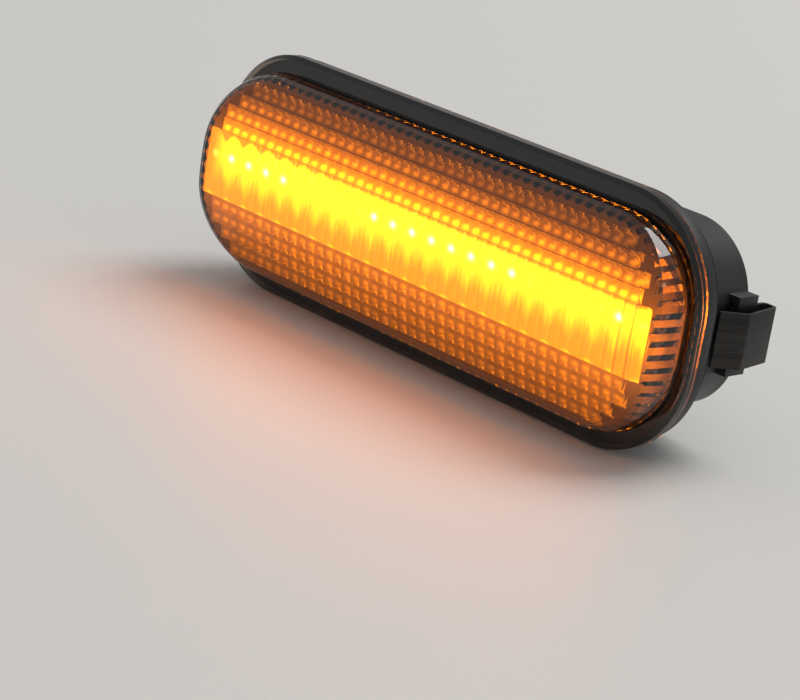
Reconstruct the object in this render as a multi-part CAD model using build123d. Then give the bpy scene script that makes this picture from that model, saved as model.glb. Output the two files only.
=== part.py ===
"""Side repeater lamp: a smoked lens with moulded optics over a row of LEDs, in a snap-in housing.

Millimetres. X runs along the lamp, the lens faces -Y and Z is up. The origin is the centre of the
panel seating face, so "ahead" below means the distance in front of the car's panel, along -Y.
"""

import os
from math import ceil, cos, pi, radians, sin, sqrt, tan

from build123d import *

# Lens flange
FLANGE_LENGTH = 98.0
FLANGE_HEIGHT = 37.0
FLANGE_CORNER = 15.0
FLANGE_THICK = 2.0
FLANGE_CHAMFER = 0.6

# Lens body on the flange
RIM_AT_ENDS = 1.5
RIM_AT_SIDES = 2.8
LENS_RISE = 7.0
CROWN_RADIUS = 40.0
SIDE_WALL = 1.3
FRONT_WALL = 2.4
SHOULDER_DRAFT = 8.0
SHOULDER_BEVEL = 1.4
SHOULDER_EASE = 0.5
SHOULDER_RIB_DEPTH = 0.45

# Lens optics
OPTIC_PITCH = 2.0
PILLOW_DEPTH = 0.55
PILLOW_ROOT = 0.8
BAND_HEIGHT = 10.0
FLUTE_DEPTH = 0.35
FLUTE_FLATS = 4

# Tongue and groove joint between the lens and the housing
TONGUE_INSET = 0.3
TONGUE_THICK = 0.9
TONGUE_LENGTH = 1.1
GROOVE_CLEARANCE = 0.12
SEALANT_THICK = 0.3

# Housing
GASKET_THICK = 1.5
BASE_THICK = 2.6
BASE_INSET = 0.7
TUB_INSET = 2.5
TUB_INSET_AT_SIDES = 2.2
TUB_DEPTH = 11.0
TUB_WALL = 1.8
TUB_FLOOR = 1.8
TUB_CHAMFER = 1.6
GASKET_INSET = 1.0
GASKET_CLEARANCE = 0.3

# Circuit board and its screws
BOARD_THICK = 1.6
BOARD_LEDGE = 1.1
BOARD_CLEARANCE = 0.25
BOARD_CORNER = 7.5
BOARD_DEPTH_BELOW_FACE = 0.5
SCREW_INSET_X = 8.3
SCREW_INSET_Z = 3.8
SCREW_SHANK = 2.0
SCREW_LENGTH = 6.0
SCREW_HEAD = 3.4
SCREW_HEAD_HEIGHT = 0.8
SCREW_SLOT_DEPTH = 0.4
SCREW_SLOT_WIDTH = 0.6
SCREW_CLEARANCE = 0.05
BOSS_DIAMETER = 5.6

# LEDs
LED_PITCH = 4.0
LED_WIDTH = 2.8
LED_TALL = 3.5
LED_HEIGHT = 1.9
LED_WINDOW = 2.1
LED_WELL = 0.6
LED_END_MARGIN = 0.8

# Reflector
REFLECTOR_CLEARANCE = 0.4
REFLECTOR_SEAT_WIDTH = 0.8
REFLECTOR_SEAT_THICK = 1.0
REFLECTOR_RISE = 3.2
REFLECTOR_WALL = 1.2
TROUGH_RADIUS = 34.0
TROUGH_ABOVE_FACE = 0.9
SLOT_CLEARANCE = 0.45

# Connector socket and terminal pins
SOCKET_FROM_END = 25.0
SOCKET_Z = -5.4
SOCKET_LENGTH = 16.0
SOCKET_HEIGHT = 10.4
SOCKET_CORNER = 2.0
SOCKET_WALL = 1.5
SOCKET_DEPTH = 10.0
SOCKET_LATCH_WIDTH = 4.0
SOCKET_LATCH_HEIGHT = 1.2
SOCKET_LATCH_LENGTH = 2.5
PIN_PITCH = 6.0
PIN_WIDTH = 2.8
PIN_THICK = 0.8
PIN_REACH = 7.0
PIN_TIP = 0.8
PIN_TAIL_WIDTH = 1.0
PIN_TAIL_PROUD = 0.4
PIN_CLEARANCE = 0.05
PIN_SHOULDER = 1.5
SOLDER_WIDTH = 2.2
SOLDER_HEIGHT = 0.3

# Fixed lug and spring clip that hold the lamp in the panel's cut-out
PANEL_GRIP = 2.3
LUG_WIDTH = 9.0
LUG_REACH = 3.2
LUG_THICK = 2.4
CLIP_WIDTH = 8.0
CLIP_THICK = 0.5
CLIP_FOOT = 6.0
CLIP_BEND = 1.0
CLIP_CORNER = 0.6
CLIP_BARB_REACH = 3.4
CLIP_BARB_DEPTH = 5.6
CLIP_NOSE_REACH = 1.2
CLIP_REAR_GAP = 1.6
RAIL_WIDTH = 1.6
RAIL_LIP = 1.0
RAIL_LIP_THICK = 0.9
RAIL_LENGTH = 4.0
CLIP_CLEARANCE = 0.08

# Breather vent
VENT_FROM_END = 23.0
VENT_Z = 4.0
VENT_BOSS = 11.0
VENT_BOSS_HEIGHT = 1.0
VENT_HOLE = 2.5
MEMBRANE_DIAMETER = 8.0
MEMBRANE_THICK = 0.3
MEMBRANE_CLEARANCE = 0.1

# Parts on the back of the board: length, height and depth of each package
CHIP_SIZE = (9.9, 3.9, 1.5)
CHIP_X = -8.0
CHIP_Z = 4.8
CHIP_LEGS_PER_SIDE = 8
CHIP_LEG_PITCH = 1.27
CHIP_LEG_SIZE = (0.42, 1.05, 0.7)
REGULATOR_SIZE = (4.5, 2.5, 1.5)
REGULATOR_X = 11.0
REGULATOR_Z = 5.5
SUPPRESSOR_SIZE = (4.6, 3.6, 2.3)
SUPPRESSOR_FROM_SOCKET = 10.0
REVERSE_DIODE_SIZE = (4.3, 2.6, 2.1)
REVERSE_DIODE_FROM_SOCKET = -12.0
DIODES_Z = -4.6
RESISTOR_SIZE = (1.25, 2.0, 0.55)
RESISTOR_Z = 0.0
CAPACITOR_SIZE = (3.2, 1.6, 1.2)
CAPACITOR_SPACING = 3.0
CAPACITOR_X = 18.0
CAPACITOR_Z = 6.0
SWITCH_SIZE = (2.9, 1.3, 1.1)
SWITCH_COUNT = 5
SWITCH_SPACING = 5.0
SWITCH_FROM_BOSS = 0.5
SWITCH_Z = -4.4

# Distances ahead of the panel, worked out from the stack of pieces
base_front = GASKET_THICK + BASE_THICK
flange_front = base_front + FLANGE_THICK
crown = flange_front + LENS_RISE
crown_inside = crown - FRONT_WALL
crown_inside_radius = CROWN_RADIUS - FRONT_WALL
board_front = base_front - BOARD_DEPTH_BELOW_FACE
board_back = board_front - BOARD_THICK
tub_inside = TUB_FLOOR - TUB_DEPTH

# Lengths and heights of the nested outlines
body_length = FLANGE_LENGTH - 2 * RIM_AT_ENDS
body_height = FLANGE_HEIGHT - 2 * RIM_AT_SIDES
body_corner = FLANGE_CORNER - (RIM_AT_ENDS + RIM_AT_SIDES) / 2
tub_length = body_length - 2 * TUB_INSET
tub_height = body_height - 2 * TUB_INSET_AT_SIDES
tub_corner = body_corner - TUB_INSET_AT_SIDES
tub_hollow_length = tub_length - 2 * TUB_WALL
tub_hollow_height = tub_height - 2 * TUB_WALL
board_length = tub_hollow_length + 2 * BOARD_LEDGE
board_height = tub_hollow_height + 2 * BOARD_LEDGE
socket_x = tub_length / 2 - SOCKET_FROM_END
vent_x = VENT_FROM_END - tub_length / 2
screw_x = board_length / 2 - SCREW_INSET_X
screw_z = board_height / 2 - SCREW_INSET_Z
switch_row_length = (SWITCH_COUNT - 1) * SWITCH_SPACING + SWITCH_SIZE[0]
switch_x = BOSS_DIAMETER / 2 + SWITCH_FROM_BOSS + switch_row_length / 2 - screw_x
led_count = 2 * int((board_length - LED_WIDTH - 2 * LED_END_MARGIN + LED_PITCH) / (2 * LED_PITCH))
led_places = [LED_PITCH * (i - (led_count - 1) / 2) for i in range(led_count)]


def rounded(length, height, corner):
    """A rounded rectangle, its corner held inside half of its shorter side."""
    return RectangleRounded(length, height, min(corner, 0.49 * min(length, height)))


def inset(amount):
    """The lens body's outline, drawn in by the given amount."""
    return rounded(body_length - 2 * amount, body_height - 2 * amount, body_corner - amount)


def tongue_ring(gap=0.0):
    """The outline of the lens's tongue, or of its groove when a gap is given."""
    return inset(TONGUE_INSET - gap) - inset(TONGUE_INSET + TONGUE_THICK + gap)


def slab(outline, back, front):
    """An outline across the lamp, extruded between two distances ahead of the panel."""
    return extrude(Plane.XZ.offset(back) * outline, amount=front - back)


def at(x, z, outline):
    """An outline moved to a place across the lamp."""
    return Pos(x, z) * outline


def barrel(radius, front, length):
    """A long cylinder along the lamp whose foremost line is at the given distance."""
    return Pos(0, radius - front, 0) * Cylinder(radius, length, rotation=(0, 90, 0))


def along_lamp(points, length):
    """A closed profile of (ahead, z) points, extruded along the lamp and centred."""
    profile = Polygon(*[(-ahead, z) for ahead, z in points], align=None)
    return extrude(Plane.YZ * profile, amount=length / 2, both=True)


def upright(points, low, high):
    """A closed profile of (x, ahead) points, extruded upwards."""
    profile = Polygon(*[(x, -ahead) for x, ahead in points], align=None)
    return extrude(Plane.XY.offset(low) * profile, amount=high - low, dir=(0, 0, 1))


def inside_draft(ahead):
    """How far the inner wall has leaned in at a distance ahead of the panel."""
    return SIDE_WALL + max(0.0, ahead - flange_front) * tan(radians(SHOULDER_DRAFT))


def step_ahead(z):
    """The inner face of the lens at a height, on a curve that follows the crown."""
    return crown_inside - z * z / (2 * crown_inside_radius)


# Rows of pillows above and below the fluted band, as many as the lens has room for
optic_half_height = body_height / 2 - inside_draft(crown_inside)
row_count = int((optic_half_height - BAND_HEIGHT / 2) / OPTIC_PITCH)
row_heights = [BAND_HEIGHT / 2 + OPTIC_PITCH * (i + 0.5) for i in range(row_count)]
last_step = step_ahead(row_heights[-1])


def columns(z):
    """The pillow columns that fit inside the rounded ends at a height."""
    lean = inside_draft(last_step)
    half_length = body_length / 2 - lean
    corner = max(body_corner - lean, OPTIC_PITCH)
    above = max(0.0, abs(z) - (body_height / 2 - lean - corner))
    reach = half_length - corner + sqrt(max(0.0, corner**2 - above**2))
    half_count = int((reach - OPTIC_PITCH / 2 - SHOULDER_RIB_DEPTH) / OPTIC_PITCH)
    return [OPTIC_PITCH * i for i in range(-half_count, half_count + 1)]


def ribbed_outline(ahead):
    """The inner wall's outline, with a rib every pitch all the way round."""
    lean = inside_draft(ahead)
    corner = body_corner - SIDE_WALL
    flat_x = body_length / 2 - SIDE_WALL - corner
    flat_z = body_height / 2 - SIDE_WALL - corner
    corner -= lean - SIDE_WALL
    runs = [
        (ceil(2 * flat_z / OPTIC_PITCH), 0, (flat_x, -flat_z), (flat_x, flat_z)),
        (ceil(2 * flat_x / OPTIC_PITCH), 90, (flat_x, flat_z), (-flat_x, flat_z)),
        (ceil(2 * flat_z / OPTIC_PITCH), 180, (-flat_x, flat_z), (-flat_x, -flat_z)),
        (ceil(2 * flat_x / OPTIC_PITCH), 270, (-flat_x, -flat_z), (flat_x, -flat_z)),
    ]
    turn_count = ceil(pi / 2 * (body_corner - SIDE_WALL) / OPTIC_PITCH)
    points = []
    for count, facing, start, end in runs:
        for i in range(2 * count):
            share = i / (2 * count)
            reach = corner - SHOULDER_RIB_DEPTH * (i % 2)
            x = start[0] + (end[0] - start[0]) * share + reach * cos(radians(facing))
            z = start[1] + (end[1] - start[1]) * share + reach * sin(radians(facing))
            points.append((x, z))
        for i in range(2 * turn_count):
            angle = radians(facing + 90 * i / (2 * turn_count))
            reach = corner - SHOULDER_RIB_DEPTH * (i % 2)
            points.append((end[0] + reach * cos(angle), end[1] + reach * sin(angle)))
    return Plane.XZ.offset(ahead) * Polygon(*points, align=None)


def shoulder_edges(body, shortest=0.0):
    """The edges round the front of the lens body, without the short seams across a bevel."""
    foot = -flange_front - FLANGE_CHAMFER
    return [e for e in body.edges() if e.bounding_box().max.Y < foot and e.length > shortest]


def make_lens():
    """Flange, drafted body and tongue in one moulding, with the optics on its inner face."""
    flange = slab(rounded(FLANGE_LENGTH, FLANGE_HEIGHT, FLANGE_CORNER), base_front, flange_front)
    flange = chamfer(flange.faces().sort_by(Axis.Y)[0].edges(), FLANGE_CHAMFER)
    body = extrude(Plane.XZ.offset(flange_front) * inset(0), amount=LENS_RISE, taper=SHOULDER_DRAFT)
    body &= barrel(CROWN_RADIUS, crown, 2 * body_length)
    body = chamfer(shoulder_edges(body), SHOULDER_BEVEL)
    body = chamfer(shoulder_edges(body, 2 * SHOULDER_BEVEL), SHOULDER_EASE)
    tongue = slab(tongue_ring(), base_front - TONGUE_LENGTH, base_front)
    mouth = slab(inset(SIDE_WALL), base_front, flange_front)
    walls = loft([ribbed_outline(flange_front), ribbed_outline(crown)], ruled=True)
    stairs = [(flange_front, -body_height), (last_step, -body_height)]
    for z in reversed(row_heights):
        stairs += [(step_ahead(z), -z - OPTIC_PITCH / 2), (step_ahead(z), -z + OPTIC_PITCH / 2)]
    stairs += [(crown_inside, -BAND_HEIGHT / 2), (crown_inside, BAND_HEIGHT / 2)]
    for z in row_heights:
        stairs += [(step_ahead(z), z - OPTIC_PITCH / 2), (step_ahead(z), z + OPTIC_PITCH / 2)]
    stairs += [(last_step, body_height), (flange_front, body_height)]
    stairs = [p for i, p in enumerate(stairs) if p != stairs[i - 1]]
    hollow = walls & along_lamp(stairs, 2 * body_length)
    lens = flange + body + tongue - mouth - hollow
    optics = [pillow_row(side * z) for z in row_heights for side in (1, -1)]
    return lens + optics + fluted_band()


def pillow_row(z):
    """One row of four-sided pillows that point into the lamp, on a root inside the lens wall."""
    face = step_ahead(z)
    places = columns(z)
    edge = places[-1] + OPTIC_PITCH / 2
    across = [(-edge, face + PILLOW_ROOT), (-edge, face)]
    for x in places:
        across += [(x, face - PILLOW_DEPTH), (x + OPTIC_PITCH / 2, face)]
    across += [(edge, face + PILLOW_ROOT)]
    low = z - OPTIC_PITCH / 2
    high = z + OPTIC_PITCH / 2
    root = face + PILLOW_ROOT
    rise = [(root, low), (face, low), (face - PILLOW_DEPTH, z), (face, high), (root, high)]
    return upright(across, low, high) & along_lamp(rise, 2 * body_length)


def fluted_band():
    """The upright flutes across the middle of the lens, in front of the LEDs, each in a few flats."""
    places = columns(BAND_HEIGHT / 2)
    edge = places[-1] + OPTIC_PITCH / 2
    root = crown_inside + PILLOW_ROOT
    across = [(-edge, root)]
    for x in places:
        for i in range(FLUTE_FLATS):
            share = 2 * i / FLUTE_FLATS - 1
            across.append((x + share * OPTIC_PITCH / 2, crown_inside - FLUTE_DEPTH * (1 - share**2)))
    across += [(edge, crown_inside), (edge, root)]
    return upright(across, -BAND_HEIGHT / 2, BAND_HEIGHT / 2)


def make_sealant():
    """The bead of sealant at the bottom of the housing's groove."""
    bottom = base_front - TONGUE_LENGTH - SEALANT_THICK
    return slab(tongue_ring(), bottom, bottom + SEALANT_THICK)


def make_gasket():
    """The foam ring that seals the lamp against the panel."""
    outer = rounded(
        FLANGE_LENGTH - 2 * (BASE_INSET + GASKET_INSET),
        FLANGE_HEIGHT - 2 * (BASE_INSET + GASKET_INSET),
        FLANGE_CORNER - BASE_INSET - GASKET_INSET,
    )
    gap = 2 * GASKET_CLEARANCE
    inner = rounded(tub_length + gap, tub_height + gap, tub_corner + GASKET_CLEARANCE)
    return slab(outer - inner, 0, GASKET_THICK)


screw_places = [(screw_x, screw_z), (-screw_x, -screw_z)]
pin_places = [socket_x - PIN_PITCH / 2, socket_x + PIN_PITCH / 2]


def make_housing():
    """Base flange, tub, connector socket, fixed lug and clip rails in one moulding."""
    base = slab(
        rounded(FLANGE_LENGTH - 2 * BASE_INSET, FLANGE_HEIGHT - 2 * BASE_INSET, FLANGE_CORNER - BASE_INSET),
        GASKET_THICK,
        base_front,
    )
    tub = slab(rounded(tub_length, tub_height, tub_corner), -TUB_DEPTH, base_front)
    tub = chamfer(tub.faces().sort_by(Axis.Y)[-1].edges(), TUB_CHAMFER)
    housing = base + tub
    hollow = rounded(tub_hollow_length, tub_hollow_height, tub_corner - TUB_WALL)
    housing -= slab(hollow, tub_inside, base_front)
    gap = 2 * BOARD_CLEARANCE
    pocket = rounded(board_length + gap, board_height + gap, BOARD_CORNER + BOARD_CLEARANCE)
    housing -= slab(pocket, board_back, base_front)
    housing -= slab(tongue_ring(GROOVE_CLEARANCE), base_front - TONGUE_LENGTH - SEALANT_THICK, base_front)
    for x, z in screw_places:
        housing += slab(at(x, z, Circle(BOSS_DIAMETER / 2)), tub_inside, board_back)
        bore = Circle(SCREW_SHANK / 2 + SCREW_CLEARANCE)
        housing -= slab(at(x, z, bore), board_front - SCREW_LENGTH - SCREW_CLEARANCE, board_back)
    return housing + make_socket() + make_lug() + make_rails() + make_vent_boss() - pin_and_vent_holes()


def make_socket():
    """The open shroud that a plug pushes into, with a latch ramp on top."""
    inner = rounded(SOCKET_LENGTH, SOCKET_HEIGHT, SOCKET_CORNER)
    walls = 2 * SOCKET_WALL
    outer = rounded(SOCKET_LENGTH + walls, SOCKET_HEIGHT + walls, SOCKET_CORNER + SOCKET_WALL)
    back = -TUB_DEPTH - SOCKET_DEPTH
    shroud = slab(at(socket_x, SOCKET_Z, outer - inner), back, -TUB_DEPTH)
    top = SOCKET_Z + SOCKET_HEIGHT / 2 + SOCKET_WALL
    ramp = Polygon(
        (TUB_DEPTH + SOCKET_DEPTH, top),
        (TUB_DEPTH + SOCKET_DEPTH - SOCKET_LATCH_LENGTH, top + SOCKET_LATCH_HEIGHT),
        (TUB_DEPTH + SOCKET_DEPTH - SOCKET_LATCH_LENGTH, top),
        align=None,
    )
    latch = extrude(Plane.YZ.offset(socket_x) * ramp, amount=SOCKET_LATCH_WIDTH / 2, both=True)
    return shroud + latch


def make_lug():
    """The fixed lug at one end, which hooks behind the panel's edge."""
    wall = -tub_length / 2
    nose = [
        (wall + TUB_WALL / 2, -PANEL_GRIP),
        (wall - LUG_REACH, -PANEL_GRIP),
        (wall - LUG_REACH, -PANEL_GRIP - LUG_THICK / 2),
        (wall + TUB_WALL / 2, -PANEL_GRIP - 2 * LUG_THICK),
    ]
    return upright(nose, -LUG_WIDTH / 2, LUG_WIDTH / 2)


def make_rails():
    """Two L-shaped rails that hold the spring clip's foot against the tub's end wall."""
    wall = tub_length / 2
    back = -TUB_DEPTH + TUB_CHAMFER
    web_reach = CLIP_THICK + 2 * CLIP_CLEARANCE
    rails = Part()
    for side in (1, -1):
        edge = side * (CLIP_WIDTH / 2 + CLIP_CLEARANCE)
        web = Pos(wall + (web_reach + RAIL_LIP_THICK - TUB_WALL / 2) / 2, edge + side * RAIL_WIDTH / 2)
        web *= Rectangle(web_reach + RAIL_LIP_THICK + TUB_WALL / 2, RAIL_WIDTH)
        lip = Pos(wall + web_reach + RAIL_LIP_THICK / 2, edge + side * (RAIL_WIDTH - RAIL_LIP) / 2)
        lip *= Rectangle(RAIL_LIP_THICK, RAIL_WIDTH + RAIL_LIP)
        rails += slab(web + lip, back, back + RAIL_LENGTH)
    return rails


def make_vent_boss():
    """The raised ring round the breather hole, with a seat for the membrane."""
    ring = Circle(VENT_BOSS / 2) - Circle(MEMBRANE_DIAMETER / 2 + MEMBRANE_CLEARANCE)
    return slab(at(vent_x, VENT_Z, ring), -TUB_DEPTH - VENT_BOSS_HEIGHT, -TUB_DEPTH)


def pin_and_vent_holes():
    """Slots for the terminal pins and the breather hole, through the tub's floor."""
    holes = slab(at(vent_x, VENT_Z, Circle(VENT_HOLE / 2)), -TUB_DEPTH, tub_inside)
    slot = Rectangle(PIN_WIDTH + 2 * PIN_CLEARANCE, PIN_THICK + 2 * PIN_CLEARANCE)
    for x in pin_places:
        holes += slab(at(x, SOCKET_Z, slot), -TUB_DEPTH, tub_inside)
    return holes


def make_membrane():
    """The breathable disc over the vent hole."""
    return slab(at(vent_x, VENT_Z, Circle(MEMBRANE_DIAMETER / 2)), -TUB_DEPTH - MEMBRANE_THICK, -TUB_DEPTH)


def make_board():
    """The LED board, drilled for its screws and slotted for the pins' tails."""
    board = slab(rounded(board_length, board_height, BOARD_CORNER), board_back, board_front)
    for x, z in screw_places:
        board -= slab(at(x, z, Circle(SCREW_SHANK / 2 + SCREW_CLEARANCE)), board_back, board_front)
    slot = Rectangle(PIN_TAIL_WIDTH + 2 * PIN_CLEARANCE, PIN_THICK + 2 * PIN_CLEARANCE)
    for x in pin_places:
        board -= slab(at(x, SOCKET_Z, slot), board_back, board_front)
    return board


def make_screws():
    """Pan-head screws that hold the board down on its bosses."""
    screws = []
    for x, z in screw_places:
        shank = slab(at(x, z, Circle(SCREW_SHANK / 2)), board_front - SCREW_LENGTH, board_front)
        head = slab(at(x, z, Circle(SCREW_HEAD / 2)), board_front, board_front + SCREW_HEAD_HEIGHT)
        top = board_front + SCREW_HEAD_HEIGHT
        slot = Rectangle(SCREW_HEAD, SCREW_SLOT_WIDTH)
        screws.append(shank + head - slab(at(x, z, slot), top - SCREW_SLOT_DEPTH, top))
    return Compound(screws)


def make_led_packages():
    """A row of LED packages, each with a square well for its window."""
    top = board_front + LED_HEIGHT
    package = Rectangle(LED_WIDTH, LED_TALL)
    well = Rectangle(LED_WINDOW, LED_WINDOW)
    return Compound([
        slab(at(x, 0, package), board_front, top) - slab(at(x, 0, well), top - LED_WELL, top)
        for x in led_places
    ])


def make_led_windows():
    """The amber resin that fills each LED's well."""
    top = board_front + LED_HEIGHT
    window = Rectangle(LED_WINDOW, LED_WINDOW)
    return Compound([slab(at(x, 0, window), top - LED_WELL, top) for x in led_places])


def make_reflector():
    """A trough along the lamp with a slot for the LEDs, on a skirt that stands on the housing."""
    seat_inset = SIDE_WALL + SHOULDER_RIB_DEPTH + REFLECTOR_CLEARANCE
    skirt_inset = seat_inset + REFLECTOR_SEAT_WIDTH
    seat = slab(inset(seat_inset), base_front, base_front + REFLECTOR_SEAT_THICK)
    skirt = slab(inset(skirt_inset), base_front, base_front + REFLECTOR_RISE)
    hollow_inset = skirt_inset + REFLECTOR_WALL
    trough = base_front + TROUGH_ABOVE_FACE
    axis = trough + TROUGH_RADIUS
    scoop = barrel(TROUGH_RADIUS, axis + TROUGH_RADIUS, 2 * body_length)
    under = barrel(TROUGH_RADIUS + REFLECTOR_WALL, axis + TROUGH_RADIUS + REFLECTOR_WALL, 2 * body_length)
    hollow = slab(inset(hollow_inset), board_front, base_front + REFLECTOR_RISE) - under
    slot_length = led_places[-1] - led_places[0] + LED_WIDTH + 2 * SLOT_CLEARANCE
    slot = slab(Rectangle(slot_length, LED_TALL + 2 * SLOT_CLEARANCE), board_front, crown)
    return seat + skirt - scoop - hollow - slot


def make_pins():
    """The two blade terminals, from the solder side of the board into the socket."""
    pins = []
    tip = -TUB_DEPTH - PIN_REACH
    shoulder = tub_inside + PIN_SHOULDER
    for x in pin_places:
        blade = slab(at(x, SOCKET_Z, Rectangle(PIN_WIDTH, PIN_THICK)), tip, shoulder)
        ends = blade.faces().sort_by(Axis.Y)[-1].edges().filter_by(Axis.Z)
        blade = chamfer(ends, PIN_TIP)
        tail = Rectangle(PIN_TAIL_WIDTH, PIN_THICK)
        tail = slab(at(x, SOCKET_Z, tail), shoulder, board_front + PIN_TAIL_PROUD)
        pins.append(blade + tail)
    return Compound(pins)


def make_solder():
    """A solder collar round each pin's tail, on the front of the board."""
    gap = 2 * PIN_CLEARANCE
    ring = Rectangle(SOLDER_WIDTH, SOLDER_WIDTH) - Rectangle(PIN_TAIL_WIDTH + gap, PIN_THICK + gap)
    return Compound([
        slab(at(x, SOCKET_Z, ring), board_front, board_front + SOLDER_HEIGHT) for x in pin_places
    ])


def make_clip():
    """A strip of spring steel, folded back on itself, whose barb catches the panel's edge."""
    foot_x = tub_length / 2 + CLIP_CLEARANCE
    rear = TUB_DEPTH + CLIP_REAR_GAP - CLIP_BEND
    barb_x = tub_length / 2 + CLIP_BARB_REACH
    path = FilletPolyline(
        (foot_x + CLIP_THICK / 2, rear - CLIP_FOOT),
        (foot_x + CLIP_THICK / 2, rear + CLIP_BEND),
        (foot_x + CLIP_THICK / 2 + 2 * CLIP_BEND, rear + CLIP_BEND),
        (barb_x, CLIP_BARB_DEPTH),
        (tub_length / 2 + CLIP_NOSE_REACH, PANEL_GRIP),
        radius=CLIP_CORNER,
    )
    strip = offset(path, CLIP_THICK / 2, side=Side.BOTH)
    return extrude(Plane.XY.offset(-CLIP_WIDTH / 2) * make_face(strip), amount=CLIP_WIDTH, dir=(0, 0, 1))


def on_board_back(size, x, z):
    """A plain package on the back of the board."""
    length, height, depth = size
    return slab(at(x, z, Rectangle(length, height)), board_back - depth, board_back)


def make_chip_legs():
    """The bent legs along both long sides of the sequencer chip."""
    width, reach, height = CHIP_LEG_SIZE
    legs = []
    for side in (1, -1):
        z = CHIP_Z + side * (CHIP_SIZE[1] + reach) / 2
        for i in range(CHIP_LEGS_PER_SIDE):
            x = CHIP_X + CHIP_LEG_PITCH * (i - (CHIP_LEGS_PER_SIDE - 1) / 2)
            legs.append(on_board_back((width, reach, height), x, z))
    return Compound(legs)


def make_row(size, count, spacing, x, z):
    """A row of like packages along the board, centred on a place."""
    return Compound([on_board_back(size, x + spacing * (i - (count - 1) / 2), z) for i in range(count)])


pieces = {
    "lens": make_lens(),
    "housing": make_housing(),
    "lens_sealant": make_sealant(),
    "panel_gasket": make_gasket(),
    "reflector": make_reflector(),
    "circuit_board": make_board(),
    "board_screws": make_screws(),
    "led_packages": make_led_packages(),
    "led_windows": make_led_windows(),
    "terminal_pins": make_pins(),
    "pin_solder": make_solder(),
    "spring_clip": make_clip(),
    "vent_membrane": make_membrane(),
    "sequencer_chip": on_board_back(CHIP_SIZE, CHIP_X, CHIP_Z),
    "chip_legs": make_chip_legs(),
    "voltage_regulator": on_board_back(REGULATOR_SIZE, REGULATOR_X, REGULATOR_Z),
    "surge_suppressor": on_board_back(SUPPRESSOR_SIZE, socket_x + SUPPRESSOR_FROM_SOCKET, DIODES_Z),
    "reverse_diode": on_board_back(REVERSE_DIODE_SIZE, socket_x + REVERSE_DIODE_FROM_SOCKET, DIODES_Z),
    "string_resistors": make_row(RESISTOR_SIZE, led_count // 2, 2 * LED_PITCH, 0, RESISTOR_Z),
    "filter_capacitors": make_row(CAPACITOR_SIZE, 2, 2 * CAPACITOR_SPACING, CAPACITOR_X, CAPACITOR_Z),
    "led_switches": make_row(SWITCH_SIZE, SWITCH_COUNT, SWITCH_SPACING, switch_x, SWITCH_Z),
}

os.makedirs("parts", exist_ok=True)
for name, piece in pieces.items():
    export_step(piece, f"parts/{name}.step")
    print(name, len(piece.solids()), round(piece.volume, 2))
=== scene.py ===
"""Looks of a side repeater lamp: lit amber LEDs behind a smoked lens with moulded optics."""
from math import cos, pi, radians, sin

import bpy
from mathutils import Matrix, Vector


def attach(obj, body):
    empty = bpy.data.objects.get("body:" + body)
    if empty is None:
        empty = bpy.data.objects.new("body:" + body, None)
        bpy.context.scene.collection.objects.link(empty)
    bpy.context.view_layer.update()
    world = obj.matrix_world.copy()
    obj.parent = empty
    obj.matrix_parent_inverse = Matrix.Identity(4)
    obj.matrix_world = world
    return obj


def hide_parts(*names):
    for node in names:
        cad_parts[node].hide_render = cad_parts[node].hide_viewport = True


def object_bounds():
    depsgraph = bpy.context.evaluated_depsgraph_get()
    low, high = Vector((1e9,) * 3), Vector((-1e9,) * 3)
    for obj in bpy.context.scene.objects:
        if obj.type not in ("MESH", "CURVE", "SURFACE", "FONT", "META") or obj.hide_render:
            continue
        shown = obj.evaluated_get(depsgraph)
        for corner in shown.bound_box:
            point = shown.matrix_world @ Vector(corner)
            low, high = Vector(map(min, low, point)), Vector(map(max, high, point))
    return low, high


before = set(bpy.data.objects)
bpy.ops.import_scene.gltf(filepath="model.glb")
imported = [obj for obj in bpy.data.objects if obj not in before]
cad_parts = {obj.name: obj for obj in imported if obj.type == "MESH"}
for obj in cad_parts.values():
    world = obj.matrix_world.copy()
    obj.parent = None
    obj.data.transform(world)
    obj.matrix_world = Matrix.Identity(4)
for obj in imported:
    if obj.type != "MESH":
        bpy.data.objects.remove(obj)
cad_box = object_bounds()

# Housing
# One black ABS moulding: base, tub, plug socket, fixed lug and the rails for the spring clip.
# The tool leaves eased edges, the round marks of its ejector pins and a fine spark-eroded grain.
MM = 0.001
WELD_DISTANCE = 0.001 * MM
FLAT_ANGLE, SHARP_ANGLE, SMOOTH_ANGLE = radians(0.5), radians(35), radians(38)
HOUSING_EDGE = 0.18 * MM
EDGE_STEPS = 2
TUB_BACK = 11 * MM
EJECTOR_PINS = ((-38, 5), (-38, -5), (-6, 7), (-6, -7), (10, 7), (36, 6), (37, -5))
PIN_RADIUS = 1.5 * MM
PIN_MARK_DEPTH = 0.15 * MM
PIN_SIDES = 32
GRAIN_DETAIL, MOTTLE_DETAIL = 4.0, 2.0
MOTTLE_SCALE = 0.07
TONE_SPREAD = (0.65, 1.35)


def linear(colour):
    """An sRGB hex colour as linear red, green, blue and alpha."""
    channels = [int(colour[i:i + 2], 16) / 255 for i in (1, 3, 5)]
    return [c / 12.92 if c <= 0.04045 else ((c + 0.055) / 1.055) ** 2.4 for c in channels] + [1.0]


def add_node(owner, kind, inputs=None, **settings):
    """Adds a node with its settings. An input is a plain value, or a node and the name of its output."""
    node = owner.node_tree.nodes.new("ShaderNode" + kind)
    for name, value in settings.items():
        setattr(node, name, value)
    for name, value in (inputs or {}).items():
        if isinstance(value, tuple) and isinstance(value[0], bpy.types.Node):
            owner.node_tree.links.new(value[0].outputs[value[1]], node.inputs[name])
        else:
            node.inputs[name].default_value = value
    return node


def empty_material(name):
    """A material with no nodes yet."""
    material = bpy.data.materials.new(name)
    material.use_nodes = True
    material.node_tree.nodes.clear()
    return material


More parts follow.
